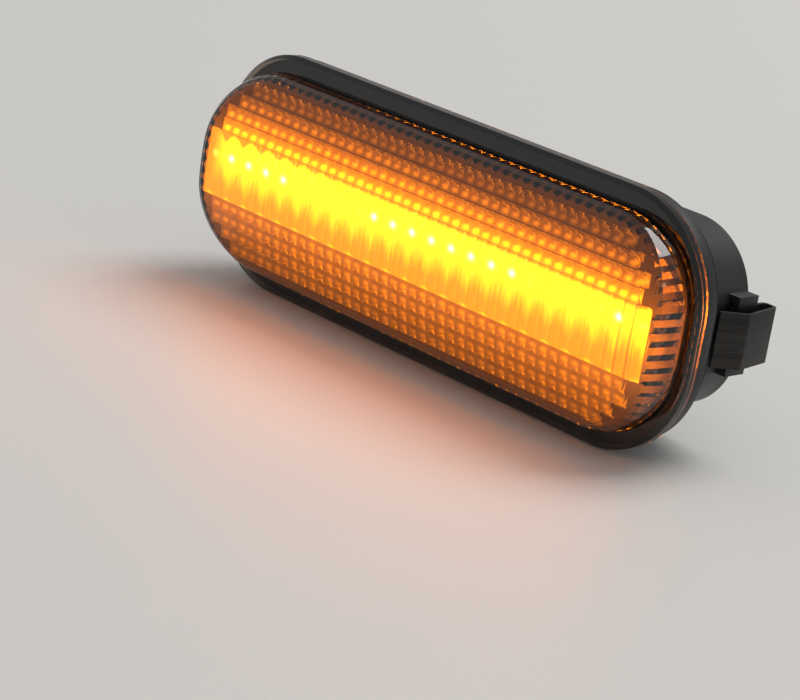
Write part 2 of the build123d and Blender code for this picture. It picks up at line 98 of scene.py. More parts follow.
def grained(name, dark, light, grain, gloss, relief, stretch=(1, 1, 1), **finish):
    """A finish whose colour, gloss and height follow one grain. Grain and relief are in millimetres."""
    material = empty_material(name)
    place = add_node(material, "TexCoord")
    scale = [1 / (grain * MM * part) for part in stretch]
    spread = add_node(material, "Mapping", {"Vector": (place, "Object"), "Scale": scale})
    noise = add_node(material, "TexNoise", {
        "Vector": (spread, "Vector"),
        "Scale": 1.0,
        "Detail": GRAIN_DETAIL,
    })
    mottle = add_node(material, "TexNoise", {
        "Vector": (spread, "Vector"),
        "Scale": MOTTLE_SCALE,
        "Detail": MOTTLE_DETAIL,
    })
    both = add_node(material, "Math", {0: (noise, "Fac"), 1: (mottle, "Fac")}, operation="ADD")
    tone = add_node(material, "MapRange", {
        "Value": (both, "Value"),
        "From Min": TONE_SPREAD[0],
        "From Max": TONE_SPREAD[1],
    })
    colour = add_node(material, "MixRGB", {0: (tone, "Result"), 1: linear(dark), 2: linear(light)})
    shine = add_node(material, "MapRange", {
        "Value": (tone, "Result"),
        "To Min": gloss[0],
        "To Max": gloss[1],
    })
    bump = add_node(material, "Bump", {
        "Height": (noise, "Fac"),
        "Distance": relief * MM,
        "Strength": 1.0,
    })
    shader = add_node(material, "BsdfPrincipled", {
        "Base Color": (colour, "Color"),
        "Roughness": (shine, "Result"),
        "Normal": (bump, "Normal"),
        **finish,
    })
    add_node(material, "OutputMaterial", {"Surface": (shader, "BSDF")})
    return material


def dress(piece, material):
    """Gives a piece its finished material."""
    piece.data.materials.clear()
    piece.data.materials.append(material)


def welded_copy(node, name):
    """A new piece that starts from a solid of the frame, with its loose triangles joined."""
    bpy.ops.object.select_all(action="DESELECT")
    piece = bpy.data.objects.new(name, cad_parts[node].data.copy())
    bpy.context.scene.collection.objects.link(piece)
    bpy.context.view_layer.objects.active = piece
    piece.select_set(True)
    bpy.ops.mesh.customdata_custom_splitnormals_clear()
    bpy.ops.object.mode_set(mode="EDIT")
    bpy.ops.mesh.select_all(action="SELECT")
    bpy.ops.mesh.remove_doubles(threshold=WELD_DISTANCE)
    bpy.ops.mesh.select_all(action="DESELECT")
    bpy.ops.object.mode_set(mode="OBJECT")
    return piece


def ease_edges(piece, width):
    """Rounds the sharp edges of a piece, after its flat faces are joined from their triangles."""
    bpy.ops.object.mode_set(mode="EDIT")
    bpy.ops.mesh.select_all(action="SELECT")
    bpy.ops.mesh.dissolve_limited(angle_limit=FLAT_ANGLE)
    bpy.ops.mesh.select_all(action="DESELECT")
    bpy.ops.object.mode_set(mode="OBJECT")
    eased = piece.modifiers.new("eased_edges", "BEVEL")
    eased.width = width
    eased.segments = EDGE_STEPS
    eased.limit_method = "ANGLE"
    eased.angle_limit = SHARP_ANGLE
    bpy.ops.object.modifier_apply(modifier=eased.name)
    bpy.ops.object.shade_smooth_by_angle(angle=SMOOTH_ANGLE)


def sink_pin_mark(piece, x, z):
    """Sinks the shallow round mark of an ejector pin into the back of a piece."""
    bpy.ops.mesh.primitive_cylinder_add(
        vertices=PIN_SIDES,
        radius=PIN_RADIUS,
        depth=2 * PIN_MARK_DEPTH,
        location=(x, TUB_BACK, z),
        rotation=(radians(90), 0, 0),
    )
    pin = bpy.context.object
    bpy.context.view_layer.objects.active = piece
    mark = piece.modifiers.new("pin_mark", "BOOLEAN")
    mark.object = pin
    mark.solver = "EXACT"
    bpy.ops.object.modifier_apply(modifier=mark.name)
    bpy.data.objects.remove(pin)


def seat(piece, node):
    """Puts a finished piece in the frame in place of the plain solid."""
    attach(piece, "root")
    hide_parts(node)


# Satin black with a grain of 0.35 mm, which breaks up highlights along the eased edges
black_abs = grained(
    "moulded_black_abs", "#131315", "#1E1E21", grain=0.35, gloss=(0.40, 0.58), relief=0.008,
)
housing = welded_copy("housing", "moulded_housing")
ease_edges(housing, HOUSING_EDGE)
for x, z in EJECTOR_PINS:
    sink_pin_mark(housing, x * MM, z * MM)
dress(housing, black_abs)
seat(housing, "housing")

# Panel gasket
# A die-cut ring of black closed-cell foam behind the flange, where it seals against the car's panel.
# The cut skin shows cells of about 0.4 mm, so it looks dull and slightly pitted.
FOAM_CELL = 0.4 * MM
FOAM_PIT = 0.08 * MM
FOAM_GLOSS = (0.98, 0.8)
foam = empty_material("closed_cell_foam")
place = add_node(foam, "TexCoord")
cells = add_node(foam, "TexVoronoi", {"Vector": (place, "Object"), "Scale": 1 / FOAM_CELL})
tone = add_node(foam, "MixRGB", {
    0: (cells, "Distance"),
    1: linear("#0F0F10"),
    2: linear("#2C2B2A"),
})
dull = add_node(foam, "MapRange", {
    "Value": (cells, "Distance"),
    "To Min": FOAM_GLOSS[0],
    "To Max": FOAM_GLOSS[1],
})
pits = add_node(foam, "Bump", {"Height": (cells, "Distance"), "Distance": FOAM_PIT})
shader = add_node(foam, "BsdfPrincipled", {
    "Base Color": (tone, "Color"),
    "Roughness": (dull, "Result"),
    "Normal": (pits, "Normal"),
})
add_node(foam, "OutputMaterial", {"Surface": (shader, "BSDF")})
dress(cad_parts["panel_gasket"], foam)

# Lens sealant
# A bead of black butyl pumped into the housing's groove, which the lens's tongue is pressed into.
# It stays tacky, so it is glossy with soft lumps.
butyl = grained(
    "butyl_sealant", "#08080A", "#1A1918", grain=1.2, gloss=(0.25, 0.45), relief=0.06,
)
dress(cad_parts["lens_sealant"], butyl)

# Breather vent
# A disc of stretched PTFE film over a hole in the tub's back. It lets air through and keeps water out.
# Its fine fibres give a dull chalky white.
film = grained(
    "stretched_ptfe_film", "#C9C8C2", "#EFEEE9", grain=0.15, gloss=(0.75, 0.95), relief=0.01,
    stretch=(3, 1, 1),
)
dress(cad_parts["vent_membrane"], film)

# Spring clip
# A folded strip of rolled spring steel in the rails at the tub's end, to snap behind the panel's edge.
# Rolling leaves fine lines along the strip, and phosphating turns it a dull dark grey.
CLIP_EDGE = 0.07 * MM
spring_steel = grained(
    "phosphated_spring_steel", "#2B2A29", "#4A4846", grain=0.12, gloss=(0.38, 0.55), relief=0.004,
    stretch=(25, 25, 1), Metallic=1.0,
)
clip = welded_copy("spring_clip", "folded_spring_clip")
ease_edges(clip, CLIP_EDGE)
dress(clip, spring_steel)
seat(clip, "spring_clip")

# Terminal pins and their solder
# Two stamped brass blades, tin plated, pushed through the tub's floor and soldered to the board.
# The tin is pale and satin, drawn along the blade, and the solder is bright with soft ripples.
tin = grained(
    "tin_plated_brass", "#A8A193", "#D2CDC0", grain=0.1, gloss=(0.22, 0.4), relief=0.003,
    stretch=(1, 20, 1), Metallic=1.0,
)
dress(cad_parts["terminal_pins"], tin)
solder = grained(
    "bright_solder", "#9FA0A2", "#CFCFD0", grain=0.5, gloss=(0.18, 0.34), relief=0.02, Metallic=1.0,
)
dress(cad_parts["pin_solder"], solder)

# Circuit board
# Glass-fibre laminate under white solder mask, which throws the LEDs' light forward.
# The glass under the mask shows as a faint mottle of 0.5 mm.
mask = grained(
    "white_solder_mask", "#C9CAC4", "#E2E2DC", grain=0.5, gloss=(0.35, 0.5), relief=0.01,
)
dress(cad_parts["circuit_board"], mask)

# Board screws
# Two slotted screws of zinc plated steel that hold the board on its bosses.
# The plating is bright, with a fine crystal spangle.
zinc = grained(
    "bright_zinc_plating", "#8F9196", "#C3C5C9", grain=0.3, gloss=(0.2, 0.38), relief=0.004,
    Metallic=1.0,
)
dress(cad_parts["board_screws"], zinc)

# Chips on the board's back
# The sequencer that makes the light flow, its LED switches, the regulator and two diodes, in epoxy.
# The mould leaves a dull dark grey, and the sequencer's legs are tinned.
epoxy = grained(
    "moulded_epoxy", "#1B1B1D", "#2B2B2D", grain=0.12, gloss=(0.5, 0.7), relief=0.004,
)
for node in ("sequencer_chip", "led_switches", "voltage_regulator", "surge_suppressor", "reverse_diode"):
    dress(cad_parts[node], epoxy)
dress(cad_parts["chip_legs"], solder)

# Resistors and capacitors
# Small fired ceramic bricks between tinned ends: black glazed film resistors, and brown capacitors.
# The tin starts at a fixed distance from the middle of each brick.
RESISTOR_FILM = 0.65 * MM
CAPACITOR_BODY = 1.1 * MM
CAPACITOR_PITCH = 6 * MM
CAPACITOR_ROW_START = 15 * MM
FIRED_GRAIN = 0.2 * MM


def tinned_ends(name, dark, light, gloss):
    """A fired body with tinned ends, its axes, and the node that compares a place with the body's end."""
    material = empty_material(name)
    place = add_node(material, "TexCoord")
    axes = add_node(material, "SeparateXYZ", {"Vector": (place, "Object")})
    grain = add_node(material, "TexNoise", {"Vector": (place, "Object"), "Scale": 1 / FIRED_GRAIN})
    body = add_node(material, "MixRGB", {0: (grain, "Fac"), 1: linear(dark), 2: linear(light)})
    end = add_node(material, "Math", operation="GREATER_THAN")
    colour = add_node(material, "MixRGB", {
        0: (end, "Value"),
        1: (body, "Color"),
        2: linear("#C4C4C2"),
    })
    rough = add_node(material, "MapRange", {
        "Value": (grain, "Fac"),
        "To Min": gloss[0],
        "To Max": gloss[1],
    })
    shader = add_node(material, "BsdfPrincipled", {
        "Base Color": (colour, "Color"),
        "Metallic": (end, "Value"),
        "Roughness": (rough, "Result"),
    })
    add_node(material, "OutputMaterial", {"Surface": (shader, "BSDF")})
    return material, axes, end


film_resistor, axes, end = tinned_ends("glazed_resistor_film", "#101012", "#1D1D22", (0.25, 0.4))
up_brick = add_node(film_resistor, "Math", {0: (axes, "Z")}, operation="ABSOLUTE")
end.inputs[1].default_value = RESISTOR_FILM
film_resistor.node_tree.links.new(up_brick.outputs["Value"], end.inputs[0])
dress(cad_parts["string_resistors"], film_resistor)
fired_capacitor, axes, end = tinned_ends("fired_capacitor_ceramic", "#6B4F33", "#8A6A48", (0.5, 0.65))
from_first = add_node(fired_capacitor, "Math", {
    0: (axes, "X"),
    1: CAPACITOR_ROW_START,
}, operation="SUBTRACT")
along_brick = add_node(fired_capacitor, "Math", {
    0: (from_first, "Value"),
    1: CAPACITOR_PITCH / 2,
}, operation="PINGPONG")
end.inputs[1].default_value = CAPACITOR_BODY
fired_capacitor.node_tree.links.new(along_brick.outputs["Value"], end.inputs[0])
dress(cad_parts["filter_capacitors"], fired_capacitor)

# LED packages and windows
# White moulded bodies soldered to the board, each with a well of clear resin that glows amber when lit.
# The bodies are flooded by their own light, which is painted on them as a weaker amber glow.
LED_PITCH = 4 * MM
AMBER = "#FF890A"
WHITE_HOT = "#FFC860"
BODY_PAINTED_GLOW, RESIN_GLOW = 2.0, 9.0
white_plastic = grained(
    "white_led_plastic_painted_glow", "#DAD8D2", "#F0EEE9", grain=0.2, gloss=(0.4, 0.55), relief=0.004,
    **{"Emission Color": linear(AMBER), "Emission Strength": BODY_PAINTED_GLOW},
)
dress(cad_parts["led_packages"], white_plastic)
amber_resin = grained(
    "lit_amber_resin", "#E8891A", "#FFA51E", grain=0.6, gloss=(0.15, 0.3), relief=0.01,
    **{"Emission Color": linear(AMBER), "Emission Strength": RESIN_GLOW},
)
dress(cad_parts["led_windows"], amber_resin)

# Reflector
# A moulded trough round the LEDs, vacuum metallised to a satin mirror with a faint orange peel.
# The LEDs' light lying along it is painted on as an amber glow, which falls off within a few millimetres.
GLOW_REACH = 6 * MM
TROUGH_PAINTED_GLOW, GLOW_FALL = 2.5, 2.718
PEEL, PEEL_RELIEF = 0.8 * MM, 0.008 * MM
SATIN = (0.2, 0.34)
metallised = empty_material("metallised_plastic")
place = add_node(metallised, "TexCoord")
axes = add_node(metallised, "SeparateXYZ", {"Vector": (place, "Object")})
height = add_node(metallised, "Math", {0: (axes, "Z"), 1: GLOW_REACH}, operation="DIVIDE")
square = add_node(metallised, "Math", {
    0: (height, "Value"),
    1: (height, "Value"),
}, operation="MULTIPLY")
fall = add_node(metallised, "Math", {0: GLOW_FALL, 1: (square, "Value")}, operation="POWER")
glow = add_node(metallised, "Math", {0: TROUGH_PAINTED_GLOW, 1: (fall, "Value")}, operation="DIVIDE")
peel = add_node(metallised, "TexNoise", {"Vector": (place, "Object"), "Scale": 1 / PEEL})
satin = add_node(metallised, "MapRange", {
    "Value": (peel, "Fac"),
    "To Min": SATIN[0],
    "To Max": SATIN[1],
})
ripple = add_node(metallised, "Bump", {"Height": (peel, "Fac"), "Distance": PEEL_RELIEF})
shader = add_node(metallised, "BsdfPrincipled", {
    "Base Color": linear("#D9D6D2"),
    "Metallic": 1.0,
    "Roughness": (satin, "Result"),
    "Normal": (ripple, "Normal"),
    "Emission Color": linear(AMBER),
    "Emission Strength": (glow, "Value"),
})
add_node(metallised, "OutputMaterial", {"Surface": (shader, "BSDF")})
dress(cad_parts["reflector"], metallised)

# Lens
# One moulding of lightly smoked polycarbonate, polished outside, with its tongue in the sealant.
# Inside the ribbed shoulder lie rows of domed pillows, above and below a band of upright flutes.
OPTIC_PITCH = 2 * MM
BAND_HEIGHT = 10 * MM
BAND_LENGTH = 90 * MM
BAND_BACK = (10.2 * MM, 10.8 * MM)
PILLOW_DEPTH = 0.55 * MM
PILLOW_CUTS = 3
PILLOW_FACING_SLACK = 0.01
LEAST_DOME = 0.001
CORE = (34.65 * MM, 2.85 * MM)
RIB_SPAN = (6.15 * MM, 12 * MM)
RIB_LEAN = (0.05, 0.2)
STEP_SPAN = (8.3 * MM, 10.9 * MM)
STEP_FACING = 0.999
STEP_UPRIGHT = 0.02
FLAT_TURN = (radians(10), radians(35))
OUTWARDS = -0.05
SHOULDER_FOOT = 7 * MM
SHOULDER_ROUND = 0.3 * MM
FLUTE_ROUND = 0.12 * MM
FLUTE_FACING = 0.5
LENS_SMOOTH_ANGLE = radians(32)


def in_cell(value):
    """How far a place lies from the middle of its optic cell, from 0 to 1 at the edge."""
    cells = value / OPTIC_PITCH
    return round(abs(cells - round(cells)) * 2, 2)


def round_edges(piece, width, wanted):
    """Rounds the shallow edges between the flats of one form, whose faces pass a test."""
    bpy.ops.object.mode_set(mode="EDIT")
    bpy.ops.mesh.select_mode(type="EDGE")
    bpy.ops.mesh.select_all(action="DESELECT")
    bpy.ops.object.mode_set(mode="OBJECT")
    faces_at = {}
    for face in piece.data.polygons:
        for edge in face.edge_keys:
            faces_at.setdefault(edge, []).append(face)
    for edge in piece.data.edges:
        one, other = faces_at[edge.key]
        turn = one.normal.angle(other.normal)
        edge.select = FLAT_TURN[0] < turn < FLAT_TURN[1] and wanted(one) and wanted(other)
    bpy.ops.object.mode_set(mode="EDIT")
    bpy.ops.mesh.bevel(offset=width, segments=EDGE_STEPS, affect="EDGES", clamp_overlap=True)
    bpy.ops.mesh.select_all(action="DESELECT")
    bpy.ops.object.mode_set(mode="OBJECT")


def on_shoulder(face):
    """Whether a face is on the outside of the lens's body, from the wall to the crown."""
    return face.normal.y < OUTWARDS and -face.center.y > SHOULDER_FOOT


def on_flute(face):
    """Whether a face is one of the flats of the flutes."""
    in_band = abs(face.center.x) < BAND_LENGTH / 2 and abs(face.center.z) < BAND_HEIGHT / 2
    return in_band and face.normal.y > FLUTE_FACING and BAND_BACK[0] < -face.center.y < BAND_BACK[1]


lens = welded_copy("lens", "smoked_lens")
round_edges(lens, SHOULDER_ROUND, on_shoulder)
round_edges(lens, FLUTE_ROUND, on_flute)

# Each four-sided pillow is divided, and the faces of each kind are told apart by place and normal
slope = PILLOW_DEPTH / (OPTIC_PITCH / 2)
facing = 1 / (1 + slope ** 2) ** 0.5
for face in lens.data.polygons:
    pillow_lean = abs(face.normal.y - facing) < PILLOW_FACING_SLACK
    face.select = pillow_lean and abs(face.center.z) > BAND_HEIGHT / 2
bpy.ops.object.mode_set(mode="EDIT")
bpy.ops.mesh.select_mode(type="FACE")
bpy.ops.mesh.subdivide(number_cuts=PILLOW_CUTS)
bpy.ops.object.mode_set(mode="OBJECT")
pillow_faces = [face.index for face in lens.data.polygons if face.select]
flute_faces = [face.index for face in lens.data.polygons if on_flute(face)]
rib_faces = []
step_faces = []
for face in lens.data.polygons:
    ahead = -face.center.y
    out_x = face.center.x - max(-CORE[0], min(CORE[0], face.center.x))
    out_z = face.center.z - max(-CORE[1], min(CORE[1], face.center.z))
    # Only the lit flank of each rib gets the painted glow; the other flank keeps the clear smoke
    lit_flank = face.normal.x * out_z - face.normal.z * out_x > 0
    if RIB_LEAN[0] < face.normal.y < RIB_LEAN[1] and RIB_SPAN[0] < ahead < RIB_SPAN[1] and lit_flank:
        rib_faces.append(face.index)
    square_on = face.normal.y > STEP_FACING or abs(face.normal.y) < STEP_UPRIGHT
    if square_on and STEP_SPAN[0] < ahead < STEP_SPAN[1] and not on_flute(face):
        step_faces.append(face.index)

# The points of all pillows that lie alike in their cells are raised together, from a pyramid to a dome
pillow_points = {i for face in pillow_faces for i in lens.data.polygons[face].vertices}
rings = {}
for i in sorted(pillow_points):
    point = lens.data.vertices[i].co
    rings.setdefault((in_cell(point.x), in_cell(point.z)), []).append(i)
for (across, up), points in sorted(rings.items()):
    dome = (1 - across ** 2) * (1 - up ** 2) - (1 - max(across, up))
    if dome < LEAST_DOME:
        continue
    bpy.ops.object.mode_set(mode="EDIT")
    bpy.ops.mesh.select_mode(type="VERT")
    bpy.ops.mesh.select_all(action="DESELECT")
    bpy.ops.object.mode_set(mode="OBJECT")
    for i in points:
        lens.data.vertices[i].select = True
    bpy.ops.object.mode_set(mode="EDIT")
    bpy.ops.transform.translate(value=(0, dome * PILLOW_DEPTH, 0))
    bpy.ops.object.mode_set(mode="OBJECT")
bpy.ops.object.shade_smooth_by_angle(angle=LENS_SMOOTH_ANGLE)
even = lens.modifiers.new("even_shading", "WEIGHTED_NORMAL")
even.keep_sharp = True
bpy.ops.object.modifier_apply(modifier=even.name)

# The polished outside: clear with a brown-grey smoke, and the faintest ripple from the mould's steel
SMOKE = "#7A6A5C"
POLYCARBONATE_IOR = 1.58
HAZE, HAZE_RELIEF, HAZE_DETAIL = 4 * MM, 0.006 * MM, 4.0
POLISH = (0.01, 0.06)
smoked = empty_material("smoked_polycarbonate")
place = add_node(smoked, "TexCoord")
haze = add_node(smoked, "TexNoise", {
    "Vector": (place, "Object"),
    "Scale": 1 / HAZE,
    "Detail": HAZE_DETAIL,
})
polish = add_node(smoked, "MapRange", {
    "Value": (haze, "Fac"),
    "To Min": POLISH[0],
    "To Max": POLISH[1],
})
ripple = add_node(smoked, "Bump", {"Height": (haze, "Fac"), "Distance": HAZE_RELIEF})
shader = add_node(smoked, "BsdfPrincipled", {
    "Base Color": linear(SMOKE),
    "Roughness": (polish, "Result"),
    "Normal": (ripple, "Normal"),
    "IOR": POLYCARBONATE_IOR,
    "Transmission Weight": 1.0,
})
add_node(smoked, "OutputMaterial", {"Surface": (shader, "BSDF")})

# The pillows: each shows a painted point of light, brightest just above the band, duller below it. The
# painted light also stands in faint columns, one LED pitch apart, and COLUMN_PLACE is chosen for the look
# of the lit lamp: the columns stand 1.6 mm beside the LEDs. Half of a wave, raised by a half, runs from 0
# to 1
# The optic faces are dark brown and mostly opaque: painted shade of the unlit inside behind them
DARK_OPTIC_PAINTED_SHADE = "#2A1C14"
OPTIC_CLEARNESS = 0.15
PILLOW_GLOSS = 0.2
HALF = 0.5
POINT_ACROSS, POINT_UP = 1.0, 3.4
COLUMN_SHARE = 0.12
FIRST_ROW = 6 * MM
UPPER_LEVEL, UPPER_GAIN, UPPER_HALF = 3.1, 3.2, 1.6 * MM
LOWER_LEVEL, LOWER_GAIN, LOWER_HALF = 1.3, 1.8, 4.5 * MM
COLUMN_PLACE = 0.4 * MM
POINT_DROP = 0.45 * MM
optic_turn = 2 * pi / OPTIC_PITCH
led_turn = 2 * pi / LED_PITCH
pillows = empty_material("painted_glow_pillow_optics")
place = add_node(pillows, "TexCoord")
axes = add_node(pillows, "SeparateXYZ", {"Vector": (place, "Object")})
upper = add_node(pillows, "Math", {0: (axes, "Z"), 1: 0.0}, operation="GREATER_THAN")
drop = add_node(pillows, "Math", {0: (upper, "Value"), 1: POINT_DROP}, operation="MULTIPLY")
towards_leds = add_node(pillows, "CombineXYZ", {"Z": (drop, "Value")})
from_point = add_node(pillows, "VectorMath", {
    0: (place, "Object"),
    1: (towards_leds, "Vector"),
}, operation="ADD")
turns = add_node(pillows, "VectorMath", {
    0: (from_point, "Vector"),
    1: (optic_turn, 0, optic_turn),
}, operation="MULTIPLY")
waves = add_node(pillows, "VectorMath", {0: (turns, "Vector")}, operation="COSINE")
raised = add_node(pillows, "VectorMath", {
    0: (waves, "Vector"),
    1: (HALF, HALF, HALF),
    2: (HALF, HALF, HALF),
}, operation="MULTIPLY_ADD")
cell = add_node(pillows, "SeparateXYZ", {"Vector": (raised, "Vector")})
across = add_node(pillows, "Math", {0: (cell, "X"), 1: POINT_ACROSS}, operation="POWER")
upwards = add_node(pillows, "Math", {0: (cell, "Z"), 1: POINT_UP}, operation="POWER")
point = add_node(pillows, "Math", {
    0: (across, "Value"),
    1: (upwards, "Value"),
}, operation="MULTIPLY")
gain = add_node(pillows, "Math", {
    0: (upper, "Value"),
    1: UPPER_GAIN - LOWER_GAIN,
    2: LOWER_GAIN,
}, operation="MULTIPLY_ADD")
gather = add_node(pillows, "Math", {
    0: (point, "Value"),
    1: (gain, "Value"),
    2: 1.0,
}, operation="MULTIPLY_ADD")
from_column = add_node(pillows, "Math", {0: (axes, "X"), 1: COLUMN_PLACE}, operation="SUBTRACT")
along = add_node(pillows, "Math", {0: (from_column, "Value"), 1: led_turn}, operation="MULTIPLY")
column_wave = add_node(pillows, "Math", {0: (along, "Value")}, operation="COSINE")
column = add_node(pillows, "Math", {
    0: (column_wave, "Value"),
    1: COLUMN_SHARE,
    2: 1.0,
}, operation="MULTIPLY_ADD")
level = add_node(pillows, "Math", {
    0: (upper, "Value"),
    1: UPPER_LEVEL - LOWER_LEVEL,
    2: LOWER_LEVEL,
}, operation="MULTIPLY_ADD")
rate = add_node(pillows, "Math", {
    0: (upper, "Value"),
    1: 1 / UPPER_HALF - 1 / LOWER_HALF,
    2: 1 / LOWER_HALF,
}, operation="MULTIPLY_ADD")
from_middle = add_node(pillows, "Math", {0: (axes, "Z")}, operation="ABSOLUTE")
from_band = add_node(pillows, "Math", {0: (from_middle, "Value"), 1: FIRST_ROW}, operation="SUBTRACT")
halvings = add_node(pillows, "Math", {
    0: (from_band, "Value"),
    1: (rate, "Value"),
}, operation="MULTIPLY")
fade = add_node(pillows, "Math", {0: HALF, 1: (halvings, "Value")}, operation="POWER")
flood = add_node(pillows, "Math", {0: (fade, "Value"), 1: (level, "Value")}, operation="MULTIPLY")
row_glow = add_node(pillows, "Math", {0: (flood, "Value"), 1: (gather, "Value")}, operation="MULTIPLY")
glow = add_node(pillows, "Math", {0: (row_glow, "Value"), 1: (column, "Value")}, operation="MULTIPLY")
shader = add_node(pillows, "BsdfPrincipled", {
    "Base Color": linear(DARK_OPTIC_PAINTED_SHADE),
    "Roughness": PILLOW_GLOSS,
    "IOR": POLYCARBONATE_IOR,
    "Transmission Weight": OPTIC_CLEARNESS,
    "Emission Color": linear(AMBER),
    "Emission Strength": (glow, "Value"),
})
add_node(pillows, "OutputMaterial", {"Surface": (shader, "BSDF")})

# The flutes: the LEDs' light on them is painted as one tall bright patch, lobed at the top of its left
# end and ragged in streaks at its foot. Painted pale hot hearts stand in its columns, and a slow beat
# along the band picks those that show. A soft spot has the share SPOT_EDGE left at its radius
FLUTE_LEVEL, PATCH_LEVEL, HEART_LEVEL = 4.2, 10.0, 22.0
FLUTE_GLOSS = 0.15
PATCH_TOP = (5.0 * MM, 4.2 * MM)
PATCH_FOOT = (-3.2 * MM, 1.9 * MM)
PATCH_MIDDLE, PATCH_ENDS = 2 * MM, (46.5 * MM, 42.5 * MM)
PATCH_TILT = 0.0138
LOBE_DEPTH, LOBE_START, LOBE_END = (0.1 * MM, 1.1 * MM), -12 * MM, -40 * MM
LOBE_SHARPNESS = 2.0
RAGGED = 3.0 * MM
RAGGED_DETAIL = 2.0
TOOTH = 1.2 * MM
VALLEY_SHADE, VALLEY_START, VALLEY_END = (0.1, 0.5), 38.5 * MM, 41 * MM
VALLEY_SHARPNESS = 8.0
SPOT_EDGE = 0.37
HEART_HEIGHT = 1.95 * MM
HEART_RADIUS = 0.5 * MM
HEART_SHARPNESS = 3.5
HEART_BEAT, HEART_BEAT_PLACE = 48 * MM, 6.4 * MM
HEART_BEAT_RISE = (-0.7, -0.4)
HEART_ENDS = (44.5 * MM, 40.5 * MM)
STREAK = (0.35 * MM, 3 * MM)
FOOT_LINE = -4.8 * MM
FOOT_LINE_RADIUS = 0.22 * MM
FOOT_SHARPNESS = 3.0
flutes = empty_material("painted_glow_flute_optics")
place = add_node(flutes, "TexCoord")
axes = add_node(flutes, "SeparateXYZ", {"Vector": (place, "Object")})
from_column = add_node(flutes, "Math", {0: (axes, "X"), 1: COLUMN_PLACE}, operation="SUBTRACT")
along = add_node(flutes, "Math", {0: (from_column, "Value"), 1: led_turn}, operation="MULTIPLY")
column_wave = add_node(flutes, "Math", {0: (along, "Value")}, operation="COSINE")
on_column = add_node(flutes, "Math", {
    0: (column_wave, "Value"),
    1: HALF,
    2: HALF,
}, operation="MULTIPLY_ADD")
streaks = add_node(flutes, "Mapping", {
    "Vector": (place, "Object"),
    "Scale": (1 / STREAK[0], 0, 1 / STREAK[1]),
})
ragged = add_node(flutes, "TexNoise", {
    "Vector": (streaks, "Vector"),
    "Scale": 1.0,
    "Detail": RAGGED_DETAIL,
})

# The painted patch of light: its top, its foot and its ends
off_column = add_node(flutes, "Math", {0: 1.0, 1: (on_column, "Value")}, operation="SUBTRACT")
notch = add_node(flutes, "Math", {0: (off_column, "Value"), 1: LOBE_SHARPNESS}, operation="POWER")
depth = add_node(flutes, "MapRange", {
    "Value": (axes, "X"),
    "From Min": LOBE_START,
    "From Max": LOBE_END,
    "To Min": LOBE_DEPTH[0],
    "To Max": LOBE_DEPTH[1],
})
lobed = add_node(flutes, "Math", {
    0: (notch, "Value"),
    1: (depth, "Result"),
    2: (axes, "Z"),
}, operation="MULTIPLY_ADD")
top = add_node(flutes, "MapRange", {
    "Value": (lobed, "Value"),
    "From Min": PATCH_TOP[0],
    "From Max": PATCH_TOP[1],
}, interpolation_type="SMOOTHSTEP")
untilted = add_node(flutes, "Math", {
    0: (axes, "X"),
    1: -PATCH_TILT,
    2: (axes, "Z"),
}, operation="MULTIPLY_ADD")
torn = add_node(flutes, "Math", {
    0: (ragged, "Fac"),
    1: RAGGED,
    2: (untilted, "Value"),
}, operation="MULTIPLY_ADD")
toothed = add_node(flutes, "Math", {
    0: (on_column, "Value"),
    1: TOOTH,
    2: (torn, "Value"),
}, operation="MULTIPLY_ADD")
foot = add_node(flutes, "MapRange", {
    "Value": (toothed, "Value"),
    "From Min": PATCH_FOOT[0] + (RAGGED + TOOTH) / 2,
    "From Max": PATCH_FOOT[1] + (RAGGED + TOOTH) / 2,
}, interpolation_type="SMOOTHSTEP")
along_patch = add_node(flutes, "Math", {0: (axes, "X"), 1: PATCH_MIDDLE}, operation="SUBTRACT")
from_middle = add_node(flutes, "Math", {0: (along_patch, "Value")}, operation="ABSOLUTE")
ends = add_node(flutes, "MapRange", {
    "Value": (from_middle, "Value"),
    "From Min": PATCH_ENDS[0],
    "From Max": PATCH_ENDS[1],
}, interpolation_type="SMOOTHSTEP")
tall = add_node(flutes, "Math", {0: (top, "Result"), 1: (foot, "Result")}, operation="MULTIPLY")
patch = add_node(flutes, "Math", {0: (tall, "Value"), 1: (ends, "Result")}, operation="MULTIPLY")
flood = add_node(flutes, "Math", {
    0: (patch, "Value"),
    1: PATCH_LEVEL,
    2: FLUTE_LEVEL,
}, operation="MULTIPLY_ADD")

# The painted hearts: a soft spot of light in each column, and which of them show
above_heart = add_node(flutes, "Math", {
    0: (untilted, "Value"),
    1: HEART_HEIGHT,
}, operation="SUBTRACT")
heart_steps = add_node(flutes, "Math", {
    0: (above_heart, "Value"),
    1: HEART_RADIUS,
}, operation="DIVIDE")
heart_square = add_node(flutes, "Math", {
    0: (heart_steps, "Value"),
    1: (heart_steps, "Value"),
}, operation="MULTIPLY")
heart_rise = add_node(flutes, "Math", {0: SPOT_EDGE, 1: (heart_square, "Value")}, operation="POWER")
heart_width = add_node(flutes, "Math", {
    0: (on_column, "Value"),
    1: HEART_SHARPNESS,
}, operation="POWER")
heart_spot = add_node(flutes, "Math", {
    0: (heart_rise, "Value"),
    1: (heart_width, "Value"),
}, operation="MULTIPLY")
from_beat = add_node(flutes, "Math", {0: (axes, "X"), 1: HEART_BEAT_PLACE}, operation="SUBTRACT")
beat_turn = add_node(flutes, "Math", {
    0: (from_beat, "Value"),
    1: 2 * pi / HEART_BEAT,
}, operation="MULTIPLY")
beat_wave = add_node(flutes, "Math", {0: (beat_turn, "Value")}, operation="COSINE")
beat = add_node(flutes, "MapRange", {
    "Value": (beat_wave, "Value"),
    "From Min": HEART_BEAT_RISE[0],
    "From Max": HEART_BEAT_RISE[1],
}, interpolation_type="SMOOTHSTEP")
